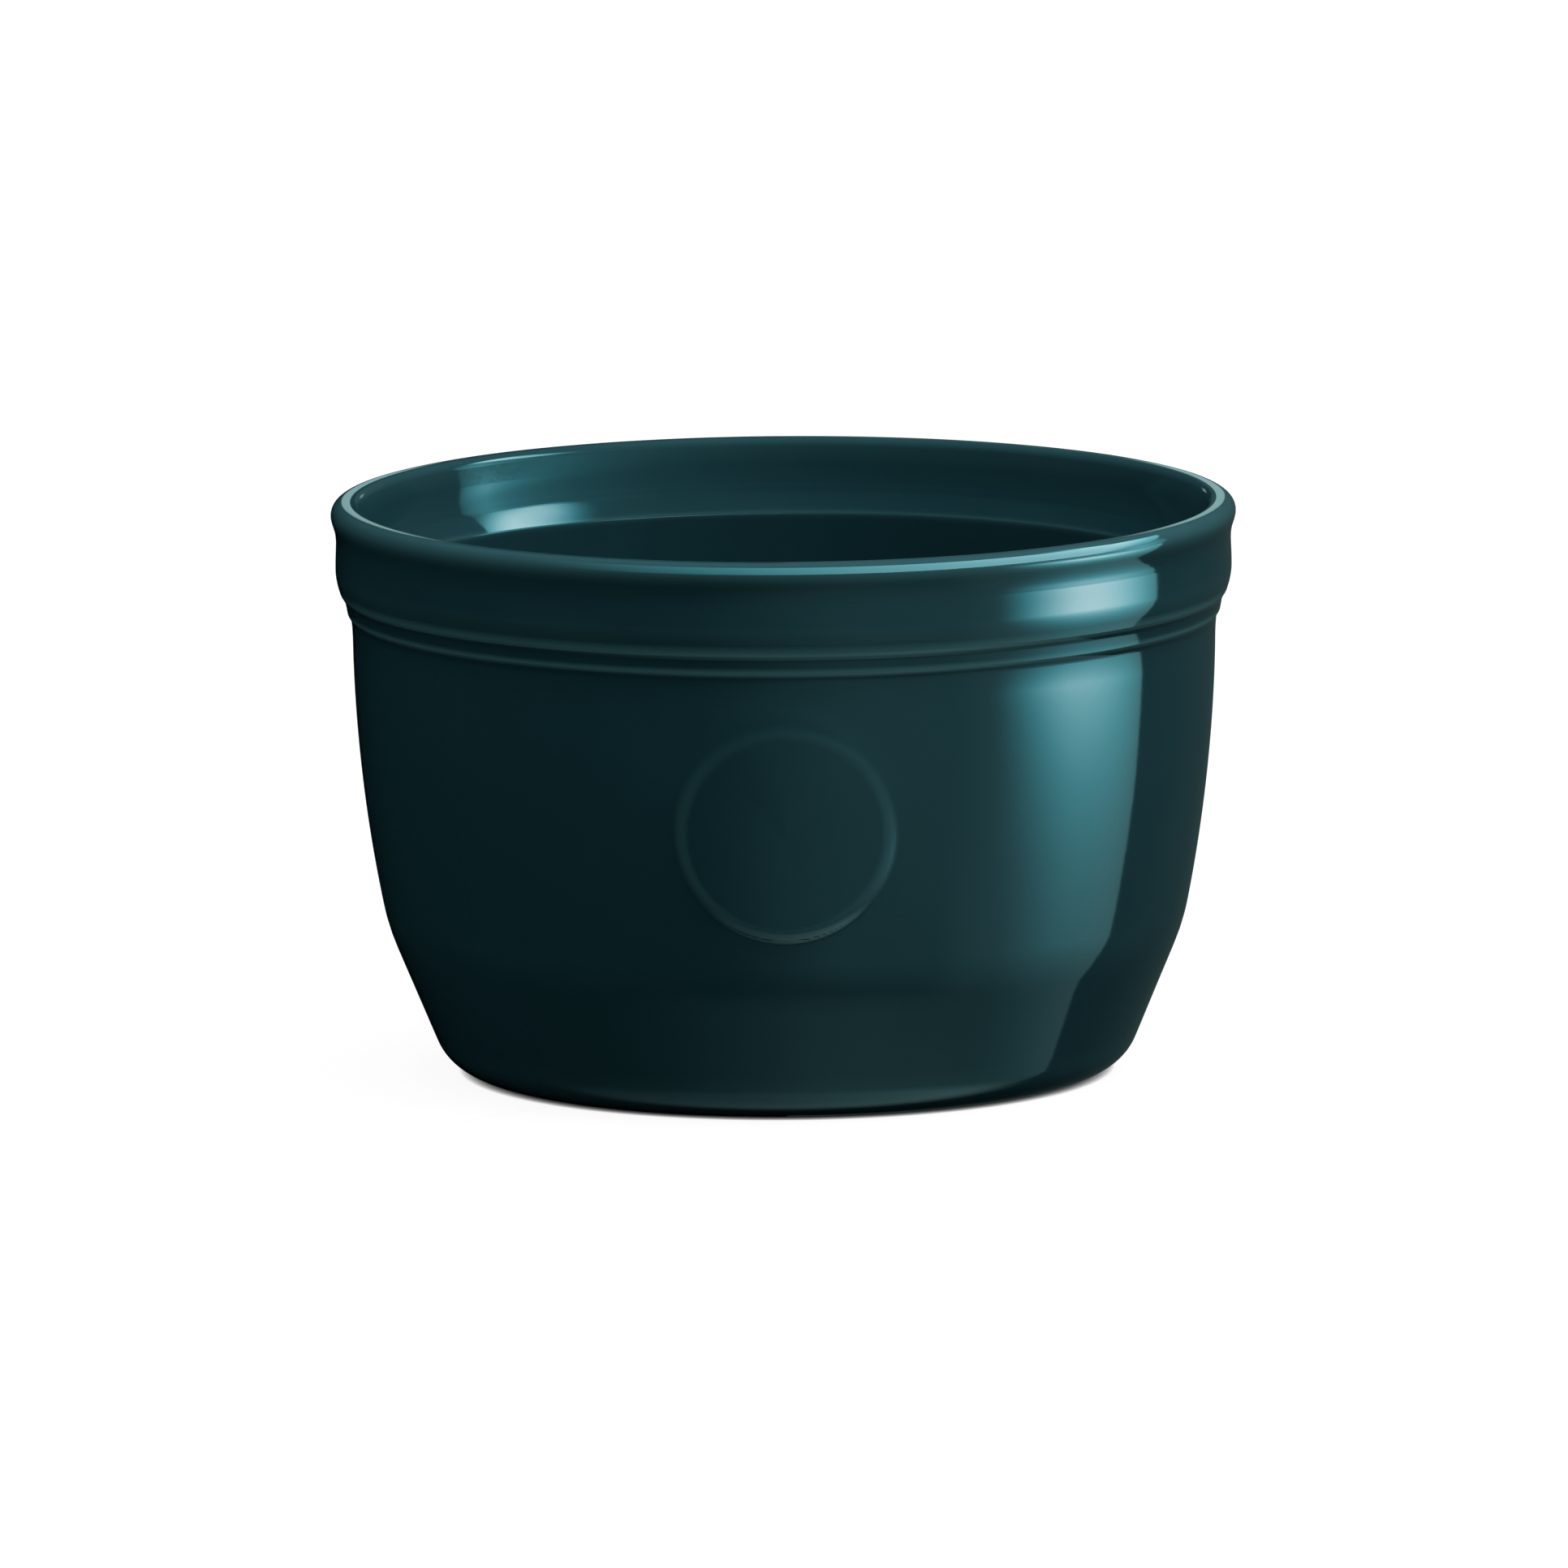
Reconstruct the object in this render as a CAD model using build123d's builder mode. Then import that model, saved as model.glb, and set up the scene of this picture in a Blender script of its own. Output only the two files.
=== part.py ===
from build123d import *
from math import acos, atan2, cos, degrees, hypot, radians, sin, sqrt, tan
import os

# A round glazed ramekin: one fired clay body under two films of glaze.
# The larger film covers the outside, the lip and the inside, and ends above the foot.
# The smaller one lies inside the foot ring, and the ring between them is wiped bare.
# All lengths are millimetres and angles are degrees.
# The origin is the centre of the foot, on the table. +Z points up and the front,
# with its round medallion, faces -Y.

# Overall sizes
total_height = 66.7
rim_radius = 52.5
glaze_thickness = 0.45

# Lip: a bead on a slightly narrower neck, fuller under its widest line than over it
lip_thickness = 3.3
bead_radius = 2.4
rim_edge_radius = 1.5
mouth_edge_radius = 1.15
neck_inset = 0.58
neck_length = 1.75
neck_blend = 6.0

# Collar: a belly under the neck, a flare, then two small ledges with a land between them
collar_depth = 13.7
belly_inset = 0.5
flare_inset = 0.53
flare_height = 2.9
ledge_step = 0.56
ledge_rise = 0.85
ledge_foot_blend = 0.45
ledge_edge_blend = 0.3
land_height = 1.5
land_lean = 0.26

# Outer wall: a long bulging arc from the collar down to the knuckle, then a cone
wall_bulge = 0.95
knuckle_inset = 3.88
knuckle_height = 17.1
knuckle_blend = 26.0

# Base and foot ring, each measured in from the one before
base_inset = 7.12
base_corner_radius = 6.2
foot_ring_width = 7.63
foot_edge_radius = 0.4
glaze_line_inset = 2.87
recess_depth = 1.2
recess_border = 1.6

# Inside: a short upper wall, a shoulder, then the lower wall and the floor
inner_draft = 10.0
shoulder_top_drop = 5.8
shoulder_foot_drop = 8.5
shoulder_top_blend = 3.5
shoulder_edge_blend = 0.5
wall_thickness = 3.6
wall_thickness_at_knuckle = 4.7
inner_bulge = 1.25
inner_knuckle_blend = 14.0
floor_thickness = 4.4
floor_corner_inset = 4.75
floor_corner_radius = 9.0

# Medallion: a low round pad midway up the front wall, prouder at its foot than at its top
medallion_margin = 5.05
medallion_rise_at_top = 0.4
medallion_rise_at_foot = 1.05
medallion_bulge = 0.25
medallion_edge_blend = 0.9
medallion_clay_fillet = 0.3
medallion_glaze_fillet = 0.6

# How far cutting shapes run past what they cut
overrun = 5.0

# Heights and radii worked out from the sizes above
bead_centre_radius = rim_radius - bead_radius
rim_edge_centre_radius = rim_radius - rim_edge_radius
widest_height = total_height - rim_edge_radius
neck_radius = rim_radius - neck_inset
neck_reach = neck_radius - bead_centre_radius
neck_height = widest_height - sqrt(bead_radius ** 2 - neck_reach ** 2) - neck_length
belly_radius = rim_radius - belly_inset
upper_edge_radius = belly_radius - flare_inset
upper_foot_radius = upper_edge_radius - ledge_step
lower_edge_radius = upper_foot_radius - land_lean
wall_top_radius = lower_edge_radius - ledge_step
wall_top_height = total_height - collar_depth
lower_edge_height = wall_top_height + ledge_rise
upper_foot_height = lower_edge_height + land_height
upper_edge_height = upper_foot_height + ledge_rise
belly_height = upper_edge_height + flare_height
knuckle_radius = wall_top_radius - knuckle_inset
base_edge_radius = knuckle_radius - base_inset
glaze_line_radius = base_edge_radius - glaze_line_inset
foot_inner_radius = base_edge_radius - foot_ring_width
recess_glaze_radius = foot_inner_radius - recess_border
mouth_edge_height = total_height - mouth_edge_radius
mouth_edge_centre_radius = rim_radius - lip_thickness + mouth_edge_radius
mouth_radius = mouth_edge_centre_radius - mouth_edge_radius / cos(radians(inner_draft))
shoulder_top_height = total_height - shoulder_top_drop
shoulder_top_radius = mouth_radius - (mouth_edge_height - shoulder_top_height) * tan(radians(inner_draft))
shoulder_foot_radius = wall_top_radius - wall_thickness
shoulder_foot_height = total_height - shoulder_foot_drop
inner_knuckle_radius = knuckle_radius - wall_thickness_at_knuckle
floor_corner_distance = inner_knuckle_radius - floor_corner_inset
floor_height = recess_depth + floor_thickness
medallion_height = (knuckle_height + wall_top_height) / 2
medallion_radius = (wall_top_height - knuckle_height) / 2 - medallion_margin


def inset_corner(before, corner, after, inset):
    """Move a corner inwards, so that both of its sides move by the inset."""
    side_in = (Vector(corner) - Vector(before)).normalized()
    side_out = (Vector(after) - Vector(corner)).normalized()
    normal_in = Vector(-side_in.Y, side_in.X)
    normal_out = Vector(-side_out.Y, side_out.X)
    return Vector(corner) + (normal_in + normal_out) * (inset / (1 + normal_in.dot(normal_out)))


def vessel_outline(inset):
    """Half outline of the vessel, radius along X and height along Y, drawn in by the inset.

    It runs a little past the axis, so that an inset copy still reaches the axis.
    """
    outer = [
        (-overrun, recess_depth),
        (foot_inner_radius, recess_depth),
        (foot_inner_radius, 0),
        (base_edge_radius, 0),
        (knuckle_radius, knuckle_height),
        (wall_top_radius, wall_top_height),
        (lower_edge_radius, lower_edge_height),
        (upper_foot_radius, upper_foot_height),
        (upper_edge_radius, upper_edge_height),
        (belly_radius, belly_height),
        (neck_radius, neck_height),
        (neck_radius, widest_height),
    ]
    inner = [
        (mouth_radius, mouth_edge_height),
        (shoulder_top_radius, shoulder_top_height),
        (shoulder_foot_radius, shoulder_foot_height),
        (inner_knuckle_radius, knuckle_height),
        (floor_corner_distance, floor_height),
        (-overrun, floor_height),
    ]
    points = outer + inner
    moved = [
        inset_corner(points[i - 1], point, points[(i + 1) % len(points)], inset)
        for i, point in enumerate(points)
    ]
    axis_low, recess_corner, foot_edge, base_edge, knuckle = moved[:5]
    low_foot, low_edge, up_foot, up_edge, belly, neck = moved[5:11]
    shoulder_top, shoulder_foot, inner_knuckle, floor_corner, axis_high = moved[13:]

    neck_angle = degrees(acos((neck.X - bead_centre_radius) / (bead_radius - inset)))
    bead = CenterArc((bead_centre_radius, widest_height), bead_radius - inset,
                     -neck_angle, neck_angle, mode=Mode.PRIVATE)
    rim_edge = CenterArc((rim_edge_centre_radius, widest_height), rim_edge_radius - inset,
                         0, 90, mode=Mode.PRIVATE)
    mouth_edge = CenterArc((mouth_edge_centre_radius, mouth_edge_height),
                           mouth_edge_radius - inset, 90, 90 - inner_draft, mode=Mode.PRIVATE)
    rounded = (
        (recess_corner, foot_edge_radius + inset),
        (foot_edge, foot_edge_radius - inset),
        (base_edge, base_corner_radius - inset),
        (knuckle, knuckle_blend - inset),
        (low_foot, ledge_foot_blend + inset),
        (low_edge, ledge_edge_blend - inset),
        (up_foot, ledge_foot_blend + inset),
        (up_edge, ledge_edge_blend - inset),
        (bead @ 0, neck_blend + inset),
        (shoulder_top, shoulder_top_blend + inset),
        (shoulder_foot, shoulder_edge_blend - inset),
        (inner_knuckle, inner_knuckle_blend + inset),
        (floor_corner, floor_corner_radius + inset),
    )
    with BuildSketch() as outline:
        with BuildLine():
            Polyline(axis_low, recess_corner, foot_edge, base_edge, knuckle)
            SagittaArc(knuckle, low_foot, -wall_bulge)
            Polyline(low_foot, low_edge, up_foot, up_edge)
            TangentArc(belly, up_edge, tangent=(0, -1))
            Polyline(belly, neck, bead @ 0)
            add([bead, rim_edge, mouth_edge])
            Line(rim_edge @ 1, mouth_edge @ 0)
            Polyline(mouth_edge @ 1, shoulder_top, shoulder_foot)
            SagittaArc(shoulder_foot, inner_knuckle, inner_bulge)
            Polyline(inner_knuckle, floor_corner, axis_high, axis_low)
        make_face()
        for corner, blend in rounded:
            if blend > 0:
                fillet(outline.vertices().sort_by_distance(corner)[0], blend)
    return outline.sketch


def right_half(outline):
    """The part of an outline that lies outside the axis, stood upright."""
    with BuildSketch(Plane.XZ) as section:
        add(outline)
        with Locations((rim_radius, total_height / 2)):
            Rectangle(2 * rim_radius, 2 * total_height, mode=Mode.INTERSECT)
    return section.sketch_local


def bare_zone(outline):
    """The part of an outline under the foot, where no glaze is left."""
    with BuildSketch() as zone:
        add(outline)
        with Locations((recess_glaze_radius, -overrun)):
            Rectangle(
                glaze_line_radius - recess_glaze_radius,
                overrun + floor_height / 2,
                align=(Align.MIN, Align.MIN),
                mode=Mode.INTERSECT,
            )
    return zone.sketch


def wall_radius(height):
    """Outer radius of the glazed wall at a height on its bulging arc."""
    chord = hypot(wall_top_radius - knuckle_radius, wall_top_height - knuckle_height)
    lean = atan2(wall_top_radius - knuckle_radius, wall_top_height - knuckle_height)
    arc_radius = ((chord / 2) ** 2 + wall_bulge ** 2) / (2 * wall_bulge)
    centre_radius = (knuckle_radius + wall_top_radius) / 2 - (arc_radius - wall_bulge) * cos(lean)
    centre_height = (knuckle_height + wall_top_height) / 2 + (arc_radius - wall_bulge) * sin(lean)
    return centre_radius + sqrt(arc_radius ** 2 - (height - centre_height) ** 2)


def medallion(inset):
    """Round pad on the front, rooted in the wall and drawn in by the inset all over."""
    top = medallion_height + medallion_radius
    foot = medallion_height - medallion_radius
    top_face = (wall_radius(top) + medallion_rise_at_top - inset, top)
    foot_face = (wall_radius(foot) + medallion_rise_at_foot - inset, foot)
    root = wall_thickness / 2
    with BuildPart() as pad:
        with BuildSketch(Plane.XZ):
            with BuildLine():
                SagittaArc(foot_face, top_face, -medallion_bulge)
                Polyline(
                    top_face,
                    (wall_radius(top) - root, top),
                    (wall_radius(foot) - root, foot),
                    foot_face,
                )
            make_face()
        revolve(axis=Axis.Z)
        with BuildSketch(Plane.XZ):
            with Locations((0, medallion_height)):
                Circle(medallion_radius - inset)
        extrude(amount=rim_radius, mode=Mode.INTERSECT)
        fillet(pad.faces().sort_by(Axis.Y)[0].edges(), medallion_edge_blend - inset)
    return pad.part


glazed_outline = vessel_outline(0)
clay_outline = vessel_outline(glaze_thickness)
glazed_medallion = medallion(0)
clay_medallion = medallion(glaze_thickness)

# Half section of the fired clay: the inset outline, and the bare foot at full size
with BuildSketch(Plane.XZ) as clay_section:
    add(right_half(clay_outline))
    add(right_half(bare_zone(glazed_outline)))

# What the glazed outline holds beyond the clay: a small film under the floor, a large one round it
with BuildSketch(Plane.XZ) as film_section:
    add(right_half(glazed_outline))
    add(clay_section.sketch_local, mode=Mode.SUBTRACT)
recess_film = film_section.sketch.faces().sort_by(SortBy.AREA)[0]

# Fired clay body, turned and pressed in one piece with its medallion
with BuildPart() as clay_body:
    revolve(clay_section.sketch, axis=Axis.Z)
    add(clay_medallion)
    fillet(clay_body.edges(Select.NEW), medallion_clay_fillet)

# Glaze inside the foot ring
with BuildPart() as recess_glaze:
    revolve(recess_film, axis=Axis.Z)

# Glaze over the outside, the lip and the inside, pooled round the medallion
with BuildPart() as glaze_coat:
    with BuildSketch(Plane.XZ):
        add(right_half(glazed_outline))
    revolve(axis=Axis.Z)
    add(glazed_medallion)
    fillet(glaze_coat.edges(Select.NEW), medallion_glaze_fillet)
    add(clay_body.part, mode=Mode.SUBTRACT)
    add(recess_glaze.part, mode=Mode.SUBTRACT)

os.makedirs("parts", exist_ok=True)

clay_body.part.label = "clay_body"
export_step(clay_body.part, "parts/clay_body.step")

recess_glaze.part.label = "recess_glaze"
export_step(recess_glaze.part, "parts/recess_glaze.step")

glaze_coat.part.label = "glaze_coat"
export_step(glaze_coat.part, "parts/glaze_coat.step")
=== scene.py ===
from math import cos, radians, sin

import bpy
import numpy as np
from mathutils import Matrix, Vector, noise


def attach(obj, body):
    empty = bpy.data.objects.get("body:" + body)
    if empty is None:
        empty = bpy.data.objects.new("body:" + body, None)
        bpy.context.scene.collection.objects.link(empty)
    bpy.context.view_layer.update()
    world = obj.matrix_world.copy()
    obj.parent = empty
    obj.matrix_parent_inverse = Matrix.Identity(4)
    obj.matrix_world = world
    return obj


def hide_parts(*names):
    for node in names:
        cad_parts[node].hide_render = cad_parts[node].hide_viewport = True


# A glazed ramekin on a white floor. Lengths are metres and angles are degrees.
# The glaze mirrors a dark tent round the dish, which has one tall bright panel at its right.
# An azimuth starts at the front (-Y) and grows towards the right (+X).

# Camera
camera_distance = 3.0
camera_elevation = 8.92
camera_aim_side = -0.00012
camera_aim_height = 0.03317
camera_lens = 592.8
camera_sensor = 36.0
camera_roll = -0.384
camera_clip = 100.0

# Floor and world
floor_size = 60.0
floor_glow = 0.93
floor_grey = 0.1
# Reach and samples of the ambient occlusion that darkens the floor's glow near the dish: a painted
# contact shadow
painted_contact_shadow_reach = 0.0008
painted_contact_shadow_samples = 8
fill_level = 0.82

# Lights: a soft one from the right, and a softer one overhead
side_light = {"azimuth": 80.0, "elevation": 40.0, "softness": 45.0, "strength": 1.9}
top_light = {"azimuth": 80.0, "elevation": 80.0, "softness": 60.0, "strength": 3.0}

# Tent: radius, and the height of its centre
tent_radius = 0.36
tent_height = 0.035
tent_segments = 96
# Its panel is cut off behind, along an edge that leans back above an elevation
panel_cut = (104.5, 105.5)
panel_lean = 0.45
lean_start = 8.0
# Below, each pair is where a soft edge starts and ends, in azimuth or elevation.
# Panel's low part: its edges to the front and the back, and its levels
low_front = (51.0, 78.0)
low_back = (78.0, 113.0)
low_back_lift = (0.0, 8.0)
low_level = 12.0
low_dimming = (-2.0, 8.0)
low_top_level = 4.0
low_end = (6.0, 9.5)
# Below this elevation it fades towards the table and leans back
low_fade_start = -3.0
low_fade = 8.5
low_lean = 0.25
# Panel's middle: its levels and edges, and how slowly it fades to the front
middle_level = 4.8
middle_start = (6.0, 9.5)
middle_end = (45.0, 60.0)
middle_back = (92.0, 110.0)
middle_fade = 22.0
middle_dimming = (13.0, 22.0)
middle_top_share = 0.6
# A dim notch across the middle's back, which bows down from the front to the sides
notch_height = 17.8
notch_bow = 0.00074
notch_start = (-0.3, 0.2)
notch_end = (0.8, 1.6)
notch_front = (62.0, 90.0)
notch_share = 0.8
# Panel's top
top_level = 8.5
top_start = (36.0, 45.0)
top_end = (47.0, 58.0)
top_front = (75.0, 95.0)
# Dim glow in front, which grows twice towards the right
glow_left = (-25.0, 20.0)
glow_left_level = 0.35
glow_right = (40.0, 60.0)
glow_right_level = 0.25
glow_foot = (-60.0, -20.0)
glow_top = (0.0, 12.0)
glow_top_share = 0.15
# Dimmer glow behind the panel
back_front = (90.0, 100.0)
back_foot = (-55.0, -15.0)
back_level = 0.06
# Table under the tent: its levels at the left and right, and its reach as shares of the radius
table_left_level = 0.12
table_right_level = 1.0
table_top = (-62.0, -42.0)
table_width_share = 0.75
table_depth_share = 1 / 3
# Slit at the back
slit_level = 0.7
slit_foot = (9.0, 11.0)
slit_top = (14.0, 16.0)
slit_sides = (167.0, 169.5)
slit_middle = (171.5, 173.0)
# Tints: of the dim glows, and of the panel and card where they are dim and bright
glow_tint = (0.62, 1.0, 0.98, 1.0)
dim_tint = (0.3, 1.0, 1.08, 1.0)
bright_tint = (1.05, 1.0, 0.97, 1.0)
tint_start = 3.0
tint_reach = 10.0
# Light that has been mirrored more often than this is left out
mirror_limit = 1.5

# Lip card: a flat ring close over the front of the lip, glowing on its underside so that the front lip
# mirrors a highlight
card_inner_radius = 0.0537
card_outer_radius = 0.095
card_height = 0.078
card_start = -46.0
card_full = 46.0
card_fade = 60.0
card_end = 74.0
card_level = 8.5
card_end_share = 0.4
card_points = 60

# Glaze
glaze_colour = (0.006, 0.026, 0.032)
glaze_tint = (0.55, 0.9, 1.0)
glaze_roughness = 0.06
glaze_ior = 1.5
glaze_wave_height = 0.000012
glaze_wave_length = 0.011
# Where it thins over an edge it shows the clay and is lighter, partly a painted highlight; where it pools
# in a corner it is darker, partly painted shade
thinned_glaze_and_highlight_colour = (0.028, 0.085, 0.094)
pooled_glaze_and_shade_colour = (0.0052, 0.023, 0.0285)
bend_limit = 1500.0
inside_bend_share = 0.3
bend_blur = 0.00022
# Clouds in its depth, and specks on its skin
glaze_clouds = {"Scale": 70.0, "Detail": 3.0}
cloud_strength = 0.16
glaze_specks = {"Scale": 900.0, "Detail": 2.0}
speck_roughness = 0.03
speck_height = 0.000002

# Glaze film: how far apart its points lie along the section, and round the dish
section_turn = 5.0
section_step = 0.0025
relief_step = 0.0003
round_step = 2.0
relief_round_step = 0.4
relief_round_reach = 20.0
sharp_turn = 35.0
seam_reach = 1e-6
outer_share = 0.85

# Medallion on the front wall
medallion_height = 0.03505
medallion_radius = 0.0129
medallion_rise_at_top = 0.0004
medallion_rise_at_foot = 0.00105
medallion_hollow = 0.00024
medallion_edge = 0.0019
medallion_round = 0.95
# Lighter band over its edge, partly thinned glaze and partly a painted reflection, which is weaker at its
# top: how strong midway, how much less at its top, and its skew outwards
medallion_band_and_reflection = 0.34
medallion_reflection_fall = 0.24
medallion_band_skew = 0.8
# Glaze pooled round it: a wider circle that touches it at its foot
pool_radius = 0.0146
pool_rise = 0.00185
pool_start = 0.0119
pool_depth = 0.0005
pool_blend = 0.00006

# Glaze pooled in corners: height of the corner, depth, reach down and up
ledge_coves = ((0.053, 0.00011, 0.0026, 0.0008), (0.05535, 0.00004, 0.0012, 0.0008))
shoulder_coves = ((0.0611, 0.00014, 0.0026, 0.0015),)

# Clay, with darker specks
clay_colour = (0.55, 0.46, 0.36)
clay_dark_share = 0.7
clay_grain = {"Scale": 1500.0, "Detail": 4.0}
clay_patches = {"Scale": 60.0, "Detail": 3.0}
clay_speck_edge = (0.15, 0.45)
clay_grain_edge = (0.3, 0.7)
clay_roughness = (0.75, 0.95)
clay_grain_height = 0.00005


def direction(azimuth, elevation):
    """Unit vector towards an azimuth and an elevation."""
    flat = cos(radians(elevation))
    return Vector((
        sin(radians(azimuth)) * flat,
        -cos(radians(azimuth)) * flat,
        sin(radians(elevation)),
    ))


class Nodes:
    """Short calls to add and link the nodes of one material or world."""

    def __init__(self, owner):
        owner.use_nodes = True
        self.tree = owner.node_tree
        self.tree.nodes.clear()

    def add(self, kind, inputs=(), **settings):
        """Add a node with these settings, and set or link its inputs by name or number."""
        node = self.tree.nodes.new(kind)
        for name, value in settings.items():
            setattr(node, name, value)
        for name, value in dict(inputs).items():
            if isinstance(value, bpy.types.NodeSocket):
                self.tree.links.new(value, node.inputs[name])
            else:
                node.inputs[name].default_value = value
        return node

    def math(self, operation, first, second=0.0, third=0.0):
        """One Math node's result."""
        node = self.add("ShaderNodeMath", {0: first, 1: second, 2: third}, operation=operation)
        return node.outputs[0]

    def step(self, value, low, high, from_value=0.0, to_value=1.0):
        """A smooth step of value, between two edges and two results."""
        node = self.add(
            "ShaderNodeMapRange",
            {"Value": value, 1: low, 2: high, 3: from_value, 4: to_value},
            interpolation_type="SMOOTHSTEP",
        )
        return node.outputs[0]

    def product(self, first, *others):
        """These values multiplied."""
        for other in others:
            first = self.math("MULTIPLY", first, other)
        return first

    def total(self, first, *others):
        """These values added."""
        for other in others:
            first = self.math("ADD", first, other)
        return first

    def background_share(self):
        """1 for the rays that show the plain white background, 0 for those that light the dish."""
        path = self.add("ShaderNodeLightPath").outputs
        shown = self.math("MAXIMUM", path["Is Camera Ray"], path["Is Glossy Ray"])
        return self.math("MAXIMUM", shown, path["Is Transmission Ray"])

    def position(self):
        """X, Y and Z of the shaded point."""
        place = self.add("ShaderNodeNewGeometry").outputs["Position"]
        return self.add("ShaderNodeSeparateXYZ", {0: place}).outputs

    def place(self, height):
        """Azimuth round the dish and elevation from a height on its axis, of the shaded point."""
        x, y, z = self.position()
        azimuth = self.math("DEGREES", self.math("ARCTAN2", x, self.math("MULTIPLY", y, -1.0)))
        flat = self.math("SQRT", self.math("ADD", self.math("POWER", x, 2.0), self.math("POWER", y, 2.0)))
        elevation = self.math("DEGREES", self.math("ARCTAN2", self.math("SUBTRACT", z, height), flat))
        return azimuth, elevation


def grey(level):
    """An opaque grey."""
    return (level, level, level, 1.0)


def make_world():
    """White where it is seen, and an even dim fill where it lights."""
    world = bpy.data.worlds.new("studio")
    bpy.context.scene.world = world
    n = Nodes(world)
    strength = n.math("MULTIPLY_ADD", n.background_share(), 1.0 - fill_level, fill_level)
    background = n.add("ShaderNodeBackground", {"Color": grey(1.0), "Strength": strength})
    n.add("ShaderNodeOutputWorld", {"Surface": background.outputs[0]})


def floor_material():
    """Pale floor: its own glow and the light on it add up to white, and a shadow stays. Near the dish,
    ambient occlusion darkens the glow: a painted contact shadow.
    """
    material = bpy.data.materials.new("pale_floor")
    n = Nodes(material)
    plain = n.add("ShaderNodeBsdfDiffuse", {"Color": grey(floor_grey)})
    lit = n.add("ShaderNodeBsdfDiffuse", {"Color": grey(1.0 - floor_glow)})
    # Painted contact shadow: ambient occlusion darkens the glow near the dish
    contact = n.add("ShaderNodeAmbientOcclusion", {"Distance": painted_contact_shadow_reach}, samples=painted_contact_shadow_samples)
    strength = n.math("MULTIPLY", contact.outputs["AO"], floor_glow)
    glow = n.add("ShaderNodeEmission", {"Color": grey(1.0), "Strength": strength})
    shown = n.add("ShaderNodeAddShader", {0: lit.outputs[0], 1: glow.outputs[0]})
    surface = n.add(
        "ShaderNodeMixShader",
        {0: n.background_share(), 1: plain.outputs[0], 2: shown.outputs[0]},
    )
    n.add("ShaderNodeOutputMaterial", {"Surface": surface.outputs[0]})
    return material


def make_floor():
    bpy.ops.mesh.primitive_plane_add(size=floor_size)
    floor = bpy.context.object
    floor.name = "floor"
    floor.data.materials.append(floor_material())
    floor.visible_glossy = False


def glossy_only(card):
    """Studio gear that the glaze mirrors, and nothing else sees."""
    card.visible_camera = False
    card.visible_diffuse = False
    card.visible_transmission = False
    card.visible_volume_scatter = False
    card.visible_shadow = False


def tinted_light(n, level):
    """Light of this level, teal where it is dim and white where it is bright."""
    share = n.math("DIVIDE", n.math("SUBTRACT", level, tint_start), tint_reach)
    tint = n.add("ShaderNodeMix", {0: share, 6: dim_tint, 7: bright_tint}, data_type="RGBA")
    return n.add("ShaderNodeEmission", {"Color": tint.outputs[2], "Strength": level})


def low_panel(n, azimuth, elevation):
    """The panel's bright low part, which fades to the front, the back and the table."""
    below = n.math("MAXIMUM", n.math("SUBTRACT", low_fade_start, elevation), 0.0)
    late = n.math("MULTIPLY_ADD", below, -low_lean, azimuth)
    back = n.math("MAXIMUM", n.step(late, *low_back, 1.0, 0.0), n.step(elevation, *low_back_lift))
    return n.product(
        n.step(late, *low_front),
        back,
        n.step(elevation, *low_dimming, low_level, low_top_level),
        n.math("EXPONENT", n.math("DIVIDE", below, -low_fade)),
        n.step(elevation, *low_end, 1.0, 0.0),
    )


def middle_panel(n, azimuth, elevation, leant):
    """The panel's middle, which fades slowly to the front and has a notch at its back."""
    ahead = n.math("MINIMUM", n.math("SUBTRACT", leant, middle_back[0]), 0.0)
    bowed = n.math("MULTIPLY_ADD", n.math("POWER", azimuth, 2.0), notch_bow, elevation)
    rim = n.math("SUBTRACT", bowed, notch_height)
    notch = n.product(
        n.step(rim, *notch_start),
        n.step(rim, *notch_end, 1.0, 0.0),
        n.step(azimuth, *notch_front, 0.0, notch_share),
    )
    return n.product(
        n.math("EXPONENT", n.math("DIVIDE", ahead, middle_fade)),
        middle_level,
        n.step(leant, *middle_back, 1.0, 0.0),
        n.math("SUBTRACT", 1.0, notch),
        n.step(elevation, *middle_dimming, 1.0, middle_top_share),
        n.step(elevation, *middle_start),
        n.step(elevation, *middle_end, 1.0, 0.0),
    )


def top_panel(n, azimuth, elevation):
    """The panel's bright top, at its back."""
    return n.product(
        n.step(elevation, *top_start),
        n.step(elevation, *top_end, 1.0, 0.0),
        n.step(azimuth, *top_front),
        top_level,
    )


def dim_glows(n, azimuth, elevation, edge):
    """A glow in front, a dimmer one behind, the table, and a slit at the back."""
    left = n.step(azimuth, *glow_left, 0.0, glow_left_level)
    right = n.step(azimuth, *glow_right, 0.0, glow_right_level)
    glow = n.product(
        n.total(left, right),
        edge,
        n.step(elevation, *glow_foot),
        n.step(elevation, *glow_top, 1.0, glow_top_share),
    )
    back = n.product(n.step(azimuth, *back_front), n.step(elevation, *back_foot, 0.0, back_level))
    x, y, z = n.position()
    width, depth = tent_radius * table_width_share, tent_radius * table_depth_share
    table = n.product(
        n.step(x, -width, width, table_left_level, table_right_level),
        n.step(elevation, *table_top, 1.0, 0.0),
        n.step(y, 0.0, depth, 1.0, 0.0),
    )
    behind = n.math("ABSOLUTE", azimuth)
    slit = n.product(
        n.step(elevation, *slit_foot),
        n.step(elevation, *slit_top, 1.0, 0.0),
        n.step(behind, *slit_sides, 0.0, slit_level),
        n.step(behind, *slit_middle, 1.0, 0.0),
    )
    return n.total(glow, back, table, slit)


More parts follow.
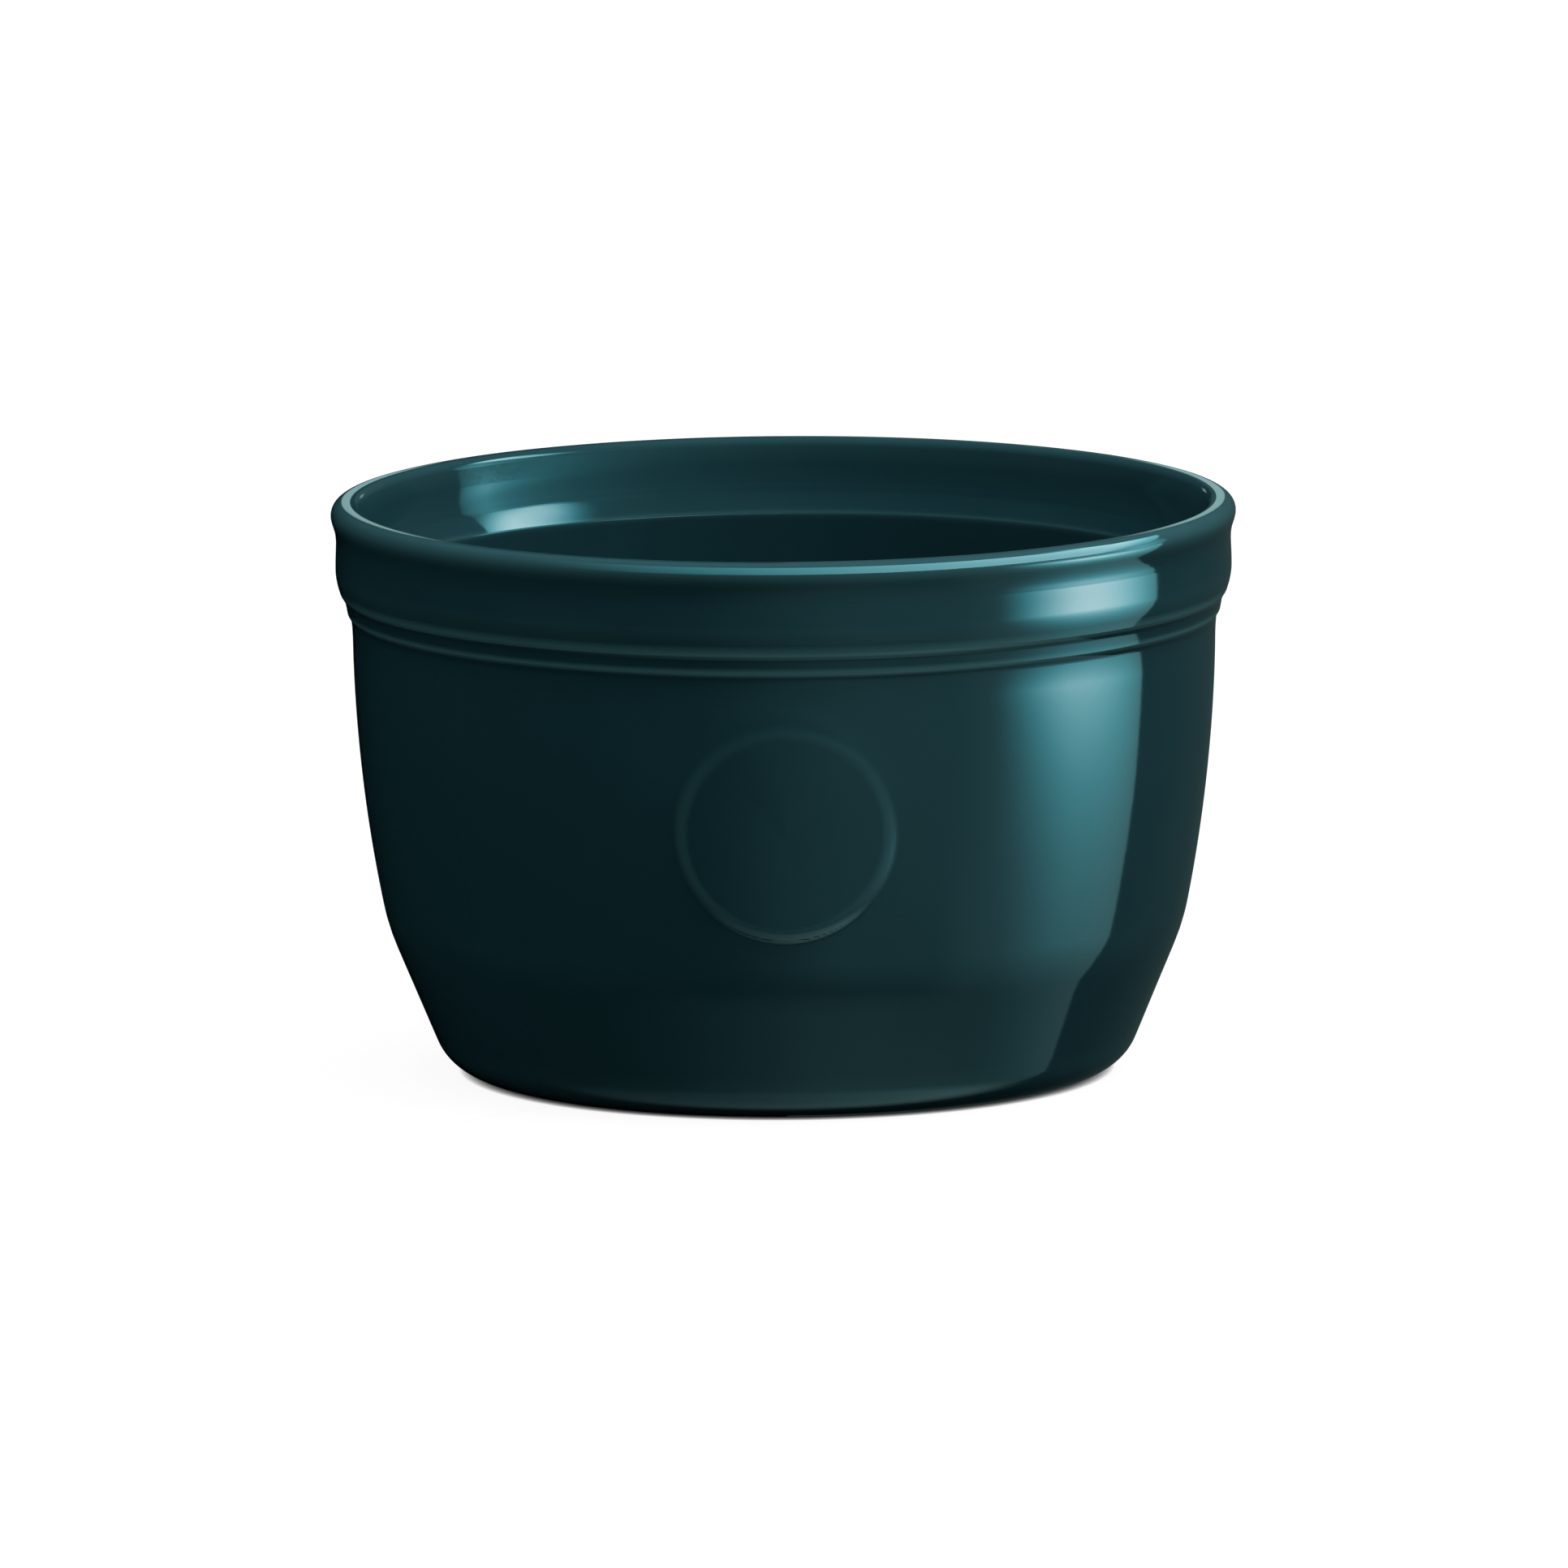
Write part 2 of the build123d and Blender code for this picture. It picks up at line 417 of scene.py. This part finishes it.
def tent_material():
    """Dark fabric with a bright panel at the right, and dim glows elsewhere."""
    material = bpy.data.materials.new("tent_fabric")
    n = Nodes(material)
    azimuth, elevation = n.place(tent_height)
    above = n.math("MAXIMUM", n.math("SUBTRACT", elevation, lean_start), 0.0)
    leant = n.math("MULTIPLY_ADD", above, -panel_lean, azimuth)
    edge = n.step(leant, *panel_cut, 1.0, 0.0)
    panel = n.total(
        low_panel(n, azimuth, elevation),
        middle_panel(n, azimuth, elevation, leant),
        top_panel(n, azimuth, elevation),
    )
    glows = dim_glows(n, azimuth, elevation, edge)
    once = n.math("LESS_THAN", n.add("ShaderNodeLightPath").outputs["Glossy Depth"], mirror_limit)
    bright = tinted_light(n, n.product(panel, edge, once))
    dim = n.add("ShaderNodeEmission", {"Color": glow_tint, "Strength": n.product(glows, once)})
    light = n.add("ShaderNodeAddShader", {0: bright.outputs[0], 1: dim.outputs[0]})
    n.add("ShaderNodeOutputMaterial", {"Surface": light.outputs[0]})
    return material


def make_tent():
    """The part of the tent below the floor stands for a glossy table."""
    bpy.ops.mesh.primitive_uv_sphere_add(
        segments=tent_segments,
        ring_count=tent_segments // 2,
        radius=tent_radius,
        location=(0, 0, tent_height),
    )
    tent = bpy.context.object
    tent.name = "tent"
    tent.data.materials.append(tent_material())
    glossy_only(tent)


def card_material():
    """Bright at the right and dim at the left. Its upper side stays dark."""
    material = bpy.data.materials.new("lip_card")
    n = Nodes(material)
    azimuth, elevation = n.place(0.0)
    level = n.math("MULTIPLY", n.step(azimuth, card_start, card_full), card_level)
    level = n.math("MULTIPLY", level, n.step(azimuth, card_fade, card_end, 1.0, card_end_share))
    under = n.math("SUBTRACT", 1.0, n.add("ShaderNodeNewGeometry").outputs["Backfacing"])
    light = tinted_light(n, n.math("MULTIPLY", level, under))
    n.add("ShaderNodeOutputMaterial", {"Surface": light.outputs[0]})
    return material


def make_card():
    angles = np.radians(np.linspace(card_start, card_end, card_points))
    ring = np.stack([np.sin(angles), -np.cos(angles)], axis=1)
    flat = np.concatenate([ring * card_inner_radius, ring * card_outer_radius])
    points = np.column_stack([flat, np.full(len(flat), card_height)])
    count = len(ring)
    faces = [(i, i + 1, count + i + 1, count + i) for i in range(count - 1)]
    mesh = bpy.data.meshes.new("lip_card")
    mesh.from_pydata(points.tolist(), [], faces)
    mesh.materials.append(card_material())
    card = bpy.data.objects.new("lip_card", mesh)
    bpy.context.scene.collection.objects.link(card)
    glossy_only(card)


def make_light(name, azimuth, elevation, softness, strength):
    """A soft sun that only the diffuse shading sees."""
    data = bpy.data.lights.new(name, "SUN")
    data.energy = strength
    data.angle = radians(softness)
    sun = bpy.data.objects.new(name, data)
    sun.rotation_mode = "QUATERNION"
    sun.rotation_quaternion = direction(azimuth, elevation).to_track_quat("Z", "Y")
    sun.visible_glossy = False
    bpy.context.scene.collection.objects.link(sun)


def make_camera():
    data = bpy.data.cameras.new("camera")
    data.lens = camera_lens
    data.sensor_width = camera_sensor
    data.clip_end = camera_clip
    camera = bpy.data.objects.new("camera", data)
    sight = direction(0.0, camera_elevation)
    turn = sight.to_track_quat("Z", "Y").to_matrix().to_4x4()
    aim = Vector((camera_aim_side, 0, camera_aim_height))
    roll = Matrix.Rotation(radians(camera_roll), 4, "Z")
    camera.matrix_world = Matrix.Translation(aim + sight * camera_distance) @ turn @ roll
    bpy.context.scene.collection.objects.link(camera)
    bpy.context.scene.camera = camera


def glaze_material():
    """Dark gloss glaze, lighter over edges where it is thinner, partly a painted highlight, and darker in
    corners where it has pooled, partly painted shade.
    """
    material = bpy.data.materials.new("teal_glaze")
    n = Nodes(material)
    place = n.add("ShaderNodeTexCoord").outputs["Object"]
    clouds = n.add("ShaderNodeTexNoise", {"Vector": place, **glaze_clouds})
    specks = n.add("ShaderNodeTexNoise", {"Vector": place, **glaze_specks})
    # The bend mark lightens the glaze over edges and darkens it in corners: partly thinned and pooled
    # glaze, partly a painted highlight and painted shade
    bend = n.add("ShaderNodeAttribute", attribute_name="bend").outputs["Fac"]
    ripple = n.math("MULTIPLY_ADD", clouds.outputs["Fac"], cloud_strength, -cloud_strength / 2)
    bend = n.math("ADD", bend, ripple)
    thinned_and_highlight = n.add(
        "ShaderNodeMix",
        {0: n.math("MAXIMUM", bend, 0.0), 6: (*glaze_colour, 1.0), 7: (*thinned_glaze_and_highlight_colour, 1.0)},
        data_type="RGBA",
    )
    colour = n.add(
        "ShaderNodeMix",
        {
            0: n.math("MAXIMUM", n.math("MULTIPLY", bend, -1.0), 0.0),
            6: thinned_and_highlight.outputs[2],
            7: (*pooled_glaze_and_shade_colour, 1.0),
        },
        data_type="RGBA",
    )
    smoothest = glaze_roughness - speck_roughness / 2
    roughness = n.math("MULTIPLY_ADD", specks.outputs["Fac"], speck_roughness, smoothest)
    skin = n.add("ShaderNodeBump", {"Height": specks.outputs["Fac"], "Distance": speck_height})
    shader = n.add(
        "ShaderNodeBsdfPrincipled",
        {
            "Base Color": colour.outputs[2],
            "Roughness": roughness,
            "IOR": glaze_ior,
            "Specular Tint": (*glaze_tint, 1.0),
            "Normal": skin.outputs[0],
        },
    )
    n.add("ShaderNodeOutputMaterial", {"Surface": shader.outputs[0]})
    return material


def clay_material():
    """Pale fired clay with a fine grain and a few darker specks."""
    material = bpy.data.materials.new("fired_clay")
    n = Nodes(material)
    place = n.add("ShaderNodeTexCoord").outputs["Object"]
    grain = n.add("ShaderNodeTexNoise", {"Vector": place, **clay_grain})
    patches = n.add("ShaderNodeTexNoise", {"Vector": place, **clay_patches})
    light = (*clay_colour, 1.0)
    dark = (*(clay_dark_share * part for part in clay_colour), 1.0)
    share = n.product(grain.outputs["Fac"], patches.outputs["Fac"])
    specks = n.step(share, *clay_speck_edge)
    colour = n.add("ShaderNodeMix", {0: specks, 6: light, 7: dark}, data_type="RGBA")
    relief = n.add("ShaderNodeBump", {"Height": grain.outputs["Fac"], "Distance": clay_grain_height})
    shader = n.add(
        "ShaderNodeBsdfPrincipled",
        {
            "Base Color": colour.outputs[2],
            "Roughness": n.step(grain.outputs["Fac"], *clay_grain_edge, *clay_roughness),
            "Normal": relief.outputs[0],
        },
    )
    n.add("ShaderNodeOutputMaterial", {"Surface": shader.outputs[0]})
    return material


def seam_section(node):
    """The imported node's section at its seam, as (radius, height) points.

    It runs from the axis over the inside, the lip and the outside, then back under the film.
    """
    mesh = node.data
    points = np.empty(len(mesh.vertices) * 3)
    mesh.vertices.foreach_get("co", points)
    points = points.reshape(-1, 3)
    on_seam = (np.abs(points[:, 1]) < seam_reach) & (points[:, 0] > -seam_reach)
    keys = [tuple(key) for key in np.round(points[:, [0, 2]] / seam_reach).astype(int)]
    beside = {}
    for edge in mesh.edges:
        first, second = edge.vertices
        if on_seam[first] and on_seam[second] and keys[first] != keys[second]:
            beside.setdefault(keys[first], set()).add(keys[second])
            beside.setdefault(keys[second], set()).add(keys[first])
    ends = [key for key, others in beside.items() if len(others) == 1]
    chain = [max(ends, key=lambda key: key[1])]
    while chain[-1] not in ends or len(chain) == 1:
        chain.append(next(key for key in beside[chain[-1]] if key not in chain[-2:-1]))
    return np.array(chain) * seam_reach


def smooth_section(corners, is_fine):
    """More points on the smooth curve through the section's corners, and its tangents there."""
    chords = np.diff(corners, axis=0)
    lengths = np.linalg.norm(chords, axis=1)
    units = chords / lengths[:, None]
    blended = units[:-1] * lengths[:-1, None] + units[1:] * lengths[1:, None]
    blended /= np.linalg.norm(blended, axis=1)[:, None]
    sharp = (units[:-1] * units[1:]).sum(axis=1) < cos(radians(sharp_turn))
    before = np.concatenate([blended, units[-1:]])
    after = np.concatenate([units[:1], blended])
    before[:-1][sharp] = units[:-1][sharp]
    after[1:][sharp] = units[1:][sharp]

    places, tangents = [], []
    for i, length in enumerate(lengths):
        turn = np.degrees(np.arccos(np.clip((after[i] * before[i]).sum(), -1, 1)))
        step = relief_step if is_fine((corners[i] + corners[i + 1]) / 2) else section_step
        parts = int(np.ceil(max(turn / section_turn, length / step, 1)))
        t = np.linspace(0, 1, parts, endpoint=False)[:, None]
        start, end = corners[i], corners[i + 1]
        out, back = after[i] * length, before[i] * length
        places.append(
            (2 * t**3 - 3 * t**2 + 1) * start
            + (t**3 - 2 * t**2 + t) * out
            + (3 * t**2 - 2 * t**3) * end
            + (t**3 - t**2) * back
        )
        tangents.append(
            (6 * t**2 - 6 * t) * start
            + (3 * t**2 - 4 * t + 1) * out
            + (6 * t - 6 * t**2) * end
            + (3 * t**2 - 2 * t) * back
        )
    places.append(corners[-1:])
    tangents.append(units[-1:])
    tangents = np.concatenate(tangents)
    return np.concatenate(places), tangents / np.linalg.norm(tangents, axis=1)[:, None]


def medallion_relief(across, height):
    """How far the glaze stands off the wall, at places across and up the front."""
    up = height - medallion_height
    reach = np.hypot(across, up)
    share = np.clip(up / medallion_radius, -1, 1)
    rise = (
        (medallion_rise_at_top + medallion_rise_at_foot) / 2
        - share * (medallion_rise_at_foot - medallion_rise_at_top) / 2
        - medallion_hollow * (1 - share**2)
    )
    edge = np.clip((reach - medallion_radius + medallion_edge) / medallion_edge, 0, 1)
    pad = rise * (1 - edge**2) ** medallion_round

    # The pool's outline in the direction of each place, and a hollow fall towards it
    tilt = up / np.maximum(reach, 1e-9)
    outline = pool_rise * tilt + np.sqrt(pool_radius**2 - pool_rise**2 * (1 - tilt**2))
    width = outline - pool_start
    fall = np.clip((reach - pool_start) / width, 0, 1)
    depth = pool_depth * np.clip((outline - medallion_radius) / (2 * pool_rise), 0, 1)
    pool = depth * (1 - fall) ** 2
    both = (pad + pool + np.hypot(pad - pool, pool_blend)) / 2
    return np.maximum(both - pool_blend / 2, 0)


def medallion_bend(across, height):
    """Lighter band over the medallion's edge, partly thinned glaze and partly a painted reflection,
    weaker at its top.
    """
    up = height - medallion_height
    reach = np.hypot(across, up)
    band = np.clip((reach - medallion_radius + medallion_edge) / medallion_edge, 0, 1)
    band = np.where(reach < medallion_radius, np.sin(np.pi * band**medallion_band_skew), 0.0)
    return band * (medallion_band_and_reflection - medallion_reflection_fall * up / medallion_radius)


def cove_relief(height, coves):
    """How far the glaze that has pooled in these corners stands off the wall."""
    lift = np.zeros_like(height)
    for corner, depth, reach_down, reach_up in coves:
        away = np.where(height < corner, (corner - height) / reach_down, (height - corner) / reach_up)
        lift = np.maximum(lift, depth * (1 - np.clip(away, 0, 1)) ** 2)
    return lift


def section_bend(tangents, normals, along):
    """How strongly the section bends at each point, blurred: edges are positive, corners negative."""
    turn = -(np.gradient(tangents, along, axis=0) * normals).sum(axis=1)
    share = np.gradient(along)
    weights = np.exp(-(((along[:, None] - along) / bend_blur) ** 2) / 2) * share
    return (weights * turn).sum(axis=1) / weights.sum(axis=1)


def make_film(node):
    """The glaze film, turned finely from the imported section, with the medallion's relief."""
    corners = seam_section(node)
    ledge, _, _, ledge_up = ledge_coves[-1]
    shoulder, _, shoulder_down, shoulder_up = shoulder_coves[0]
    wall_foot = medallion_height - medallion_radius - pool_radius / 4

    def is_fine(place):
        """Whether the film has relief there: round the collar's ledges, the medallion or the shoulder."""
        radius, height = place
        if height > shoulder - shoulder_down:
            return height < shoulder + shoulder_up
        return radius > corners[:, 0].max() * outer_share and wall_foot < height < ledge + ledge_up

    section, tangents = smooth_section(corners, is_fine)
    crest = int(np.argmax(section[:, 1]))
    foot = int(np.argmin(section[:, 1]))
    normals = np.column_stack([-tangents[:, 1], tangents[:, 0]])
    along = np.concatenate([[0], np.cumsum(np.linalg.norm(np.diff(section, axis=0), axis=1))])

    near = np.arange(-relief_round_reach, relief_round_reach, relief_round_step)
    far = np.arange(relief_round_reach, 360 - relief_round_reach, round_step)
    angles = np.radians(np.concatenate([near, far]))
    outwards = np.column_stack([np.sin(angles), -np.cos(angles)])

    # Rows without the two on the axis, which are single points
    rows = slice(1, -1)
    radius, height = section[rows, 0][:, None], section[rows, 1][:, None]
    flat = radius[:, :, None] * outwards[None]
    places = np.concatenate([flat, np.broadcast_to(height[:, :, None], (*flat.shape[:2], 1))], axis=2)
    out = np.concatenate(
        [
            normals[rows, 0][:, None, None] * outwards[None],
            np.broadcast_to(normals[rows, 1][:, None, None], (*flat.shape[:2], 1)),
        ],
        axis=2,
    )
    index = np.arange(len(section))[rows][:, None]
    visible = index <= foot
    outside = (index > crest) & visible
    front = outside & (flat[:, :, 1] < 0)
    relief = np.where(front, medallion_relief(flat[:, :, 0], height), 0.0)
    relief = relief + np.where(outside, cove_relief(height, ledge_coves), 0.0)
    relief = relief + np.where(index < crest, cove_relief(height, shoulder_coves), 0.0)
    wave = np.array([
        [noise.noise(Vector(place) / glaze_wave_length) for place in row] for row in places
    ])
    lift = relief + glaze_wave_height * wave * visible

    # Slopes of the lift along the section and round the dish turn the normals
    slope_along = np.gradient(lift, along[rows], axis=0)
    # Bend mark for the glaze colour: lighter over edges and darker in corners, partly thinned and pooled
    # glaze, partly a painted highlight and painted shade
    bend = section_bend(tangents, normals, along)[rows][:, None]
    bend = np.clip(bend / bend_limit, -1, 1) * visible
    bend = bend * np.where(index < crest, inside_bend_share, 1.0)
    bend = bend + np.where(front, medallion_bend(flat[:, :, 0], height), 0.0)
    round_trip = np.concatenate([angles[-1:] - 2 * np.pi, angles, angles[:1] + 2 * np.pi])
    wrapped = np.concatenate([lift[:, -1:], lift, lift[:, :1]], axis=1)
    slope_round = np.gradient(wrapped, round_trip, axis=1)[:, 1:-1] / radius
    forward = np.concatenate(
        [
            tangents[rows, 0][:, None, None] * outwards[None],
            np.broadcast_to(tangents[rows, 1][:, None, None], (*flat.shape[:2], 1)),
        ],
        axis=2,
    )
    sideways = np.column_stack([np.cos(angles), np.sin(angles), np.zeros(len(angles))])
    turned = out - slope_along[:, :, None] * forward - slope_round[:, :, None] * sideways[None]
    turned /= np.linalg.norm(turned, axis=2)[:, :, None]
    places = places + out * lift[:, :, None]

    count_rows, count_round = places.shape[:2]
    body = places.reshape(-1, 3)
    top = [0.0, 0.0, section[0, 1]]
    bottom = [0.0, 0.0, section[-1, 1]]
    points = np.concatenate([body, [top, bottom]])
    vectors = np.concatenate([turned.reshape(-1, 3), [[0, 0, 1], [0, 0, -1]]])
    grid = np.arange(count_rows * count_round).reshape(count_rows, count_round)
    following = np.roll(grid, -1, axis=1)
    quads = np.stack([grid[:-1], grid[1:], following[1:], following[:-1]], axis=2).reshape(-1, 4)
    first, last = len(body), len(body) + 1
    faces = quads.tolist()
    faces += [(first, a, b) for a, b in zip(grid[0].tolist(), following[0].tolist())]
    faces += [(last, b, a) for a, b in zip(grid[-1].tolist(), following[-1].tolist())]

    mesh = bpy.data.meshes.new("glaze_film")
    mesh.from_pydata(points.tolist(), [], faces)
    mesh.shade_smooth()
    mesh.normals_split_custom_set_from_vertices(vectors.tolist())
    mark = mesh.attributes.new("bend", "FLOAT", "POINT")
    mark.data.foreach_set("value", np.concatenate([bend.ravel(), [0, 0]]))
    mesh.materials.append(glaze)
    film = bpy.data.objects.new("glaze_film", mesh)
    bpy.context.scene.collection.objects.link(film)
    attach(film, "root")
    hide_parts("glaze_coat")


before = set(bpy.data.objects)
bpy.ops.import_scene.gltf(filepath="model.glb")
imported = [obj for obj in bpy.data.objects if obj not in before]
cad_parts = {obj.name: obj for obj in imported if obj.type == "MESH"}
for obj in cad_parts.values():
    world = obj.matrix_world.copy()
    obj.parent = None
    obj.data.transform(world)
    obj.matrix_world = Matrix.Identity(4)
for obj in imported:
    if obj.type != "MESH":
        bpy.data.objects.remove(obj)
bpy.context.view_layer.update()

glaze = glaze_material()
clay = clay_material()
for name, material in (("glaze_coat", glaze), ("recess_glaze", glaze), ("clay_body", clay)):
    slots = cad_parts[name].data.materials
    slots.clear()
    slots.append(material)

make_film(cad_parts["glaze_coat"])
make_world()
make_floor()
make_tent()
make_card()
make_light("side_light", **side_light)
make_light("top_light", **top_light)
make_camera()

view = bpy.context.scene.view_settings
view.view_transform = "Standard"
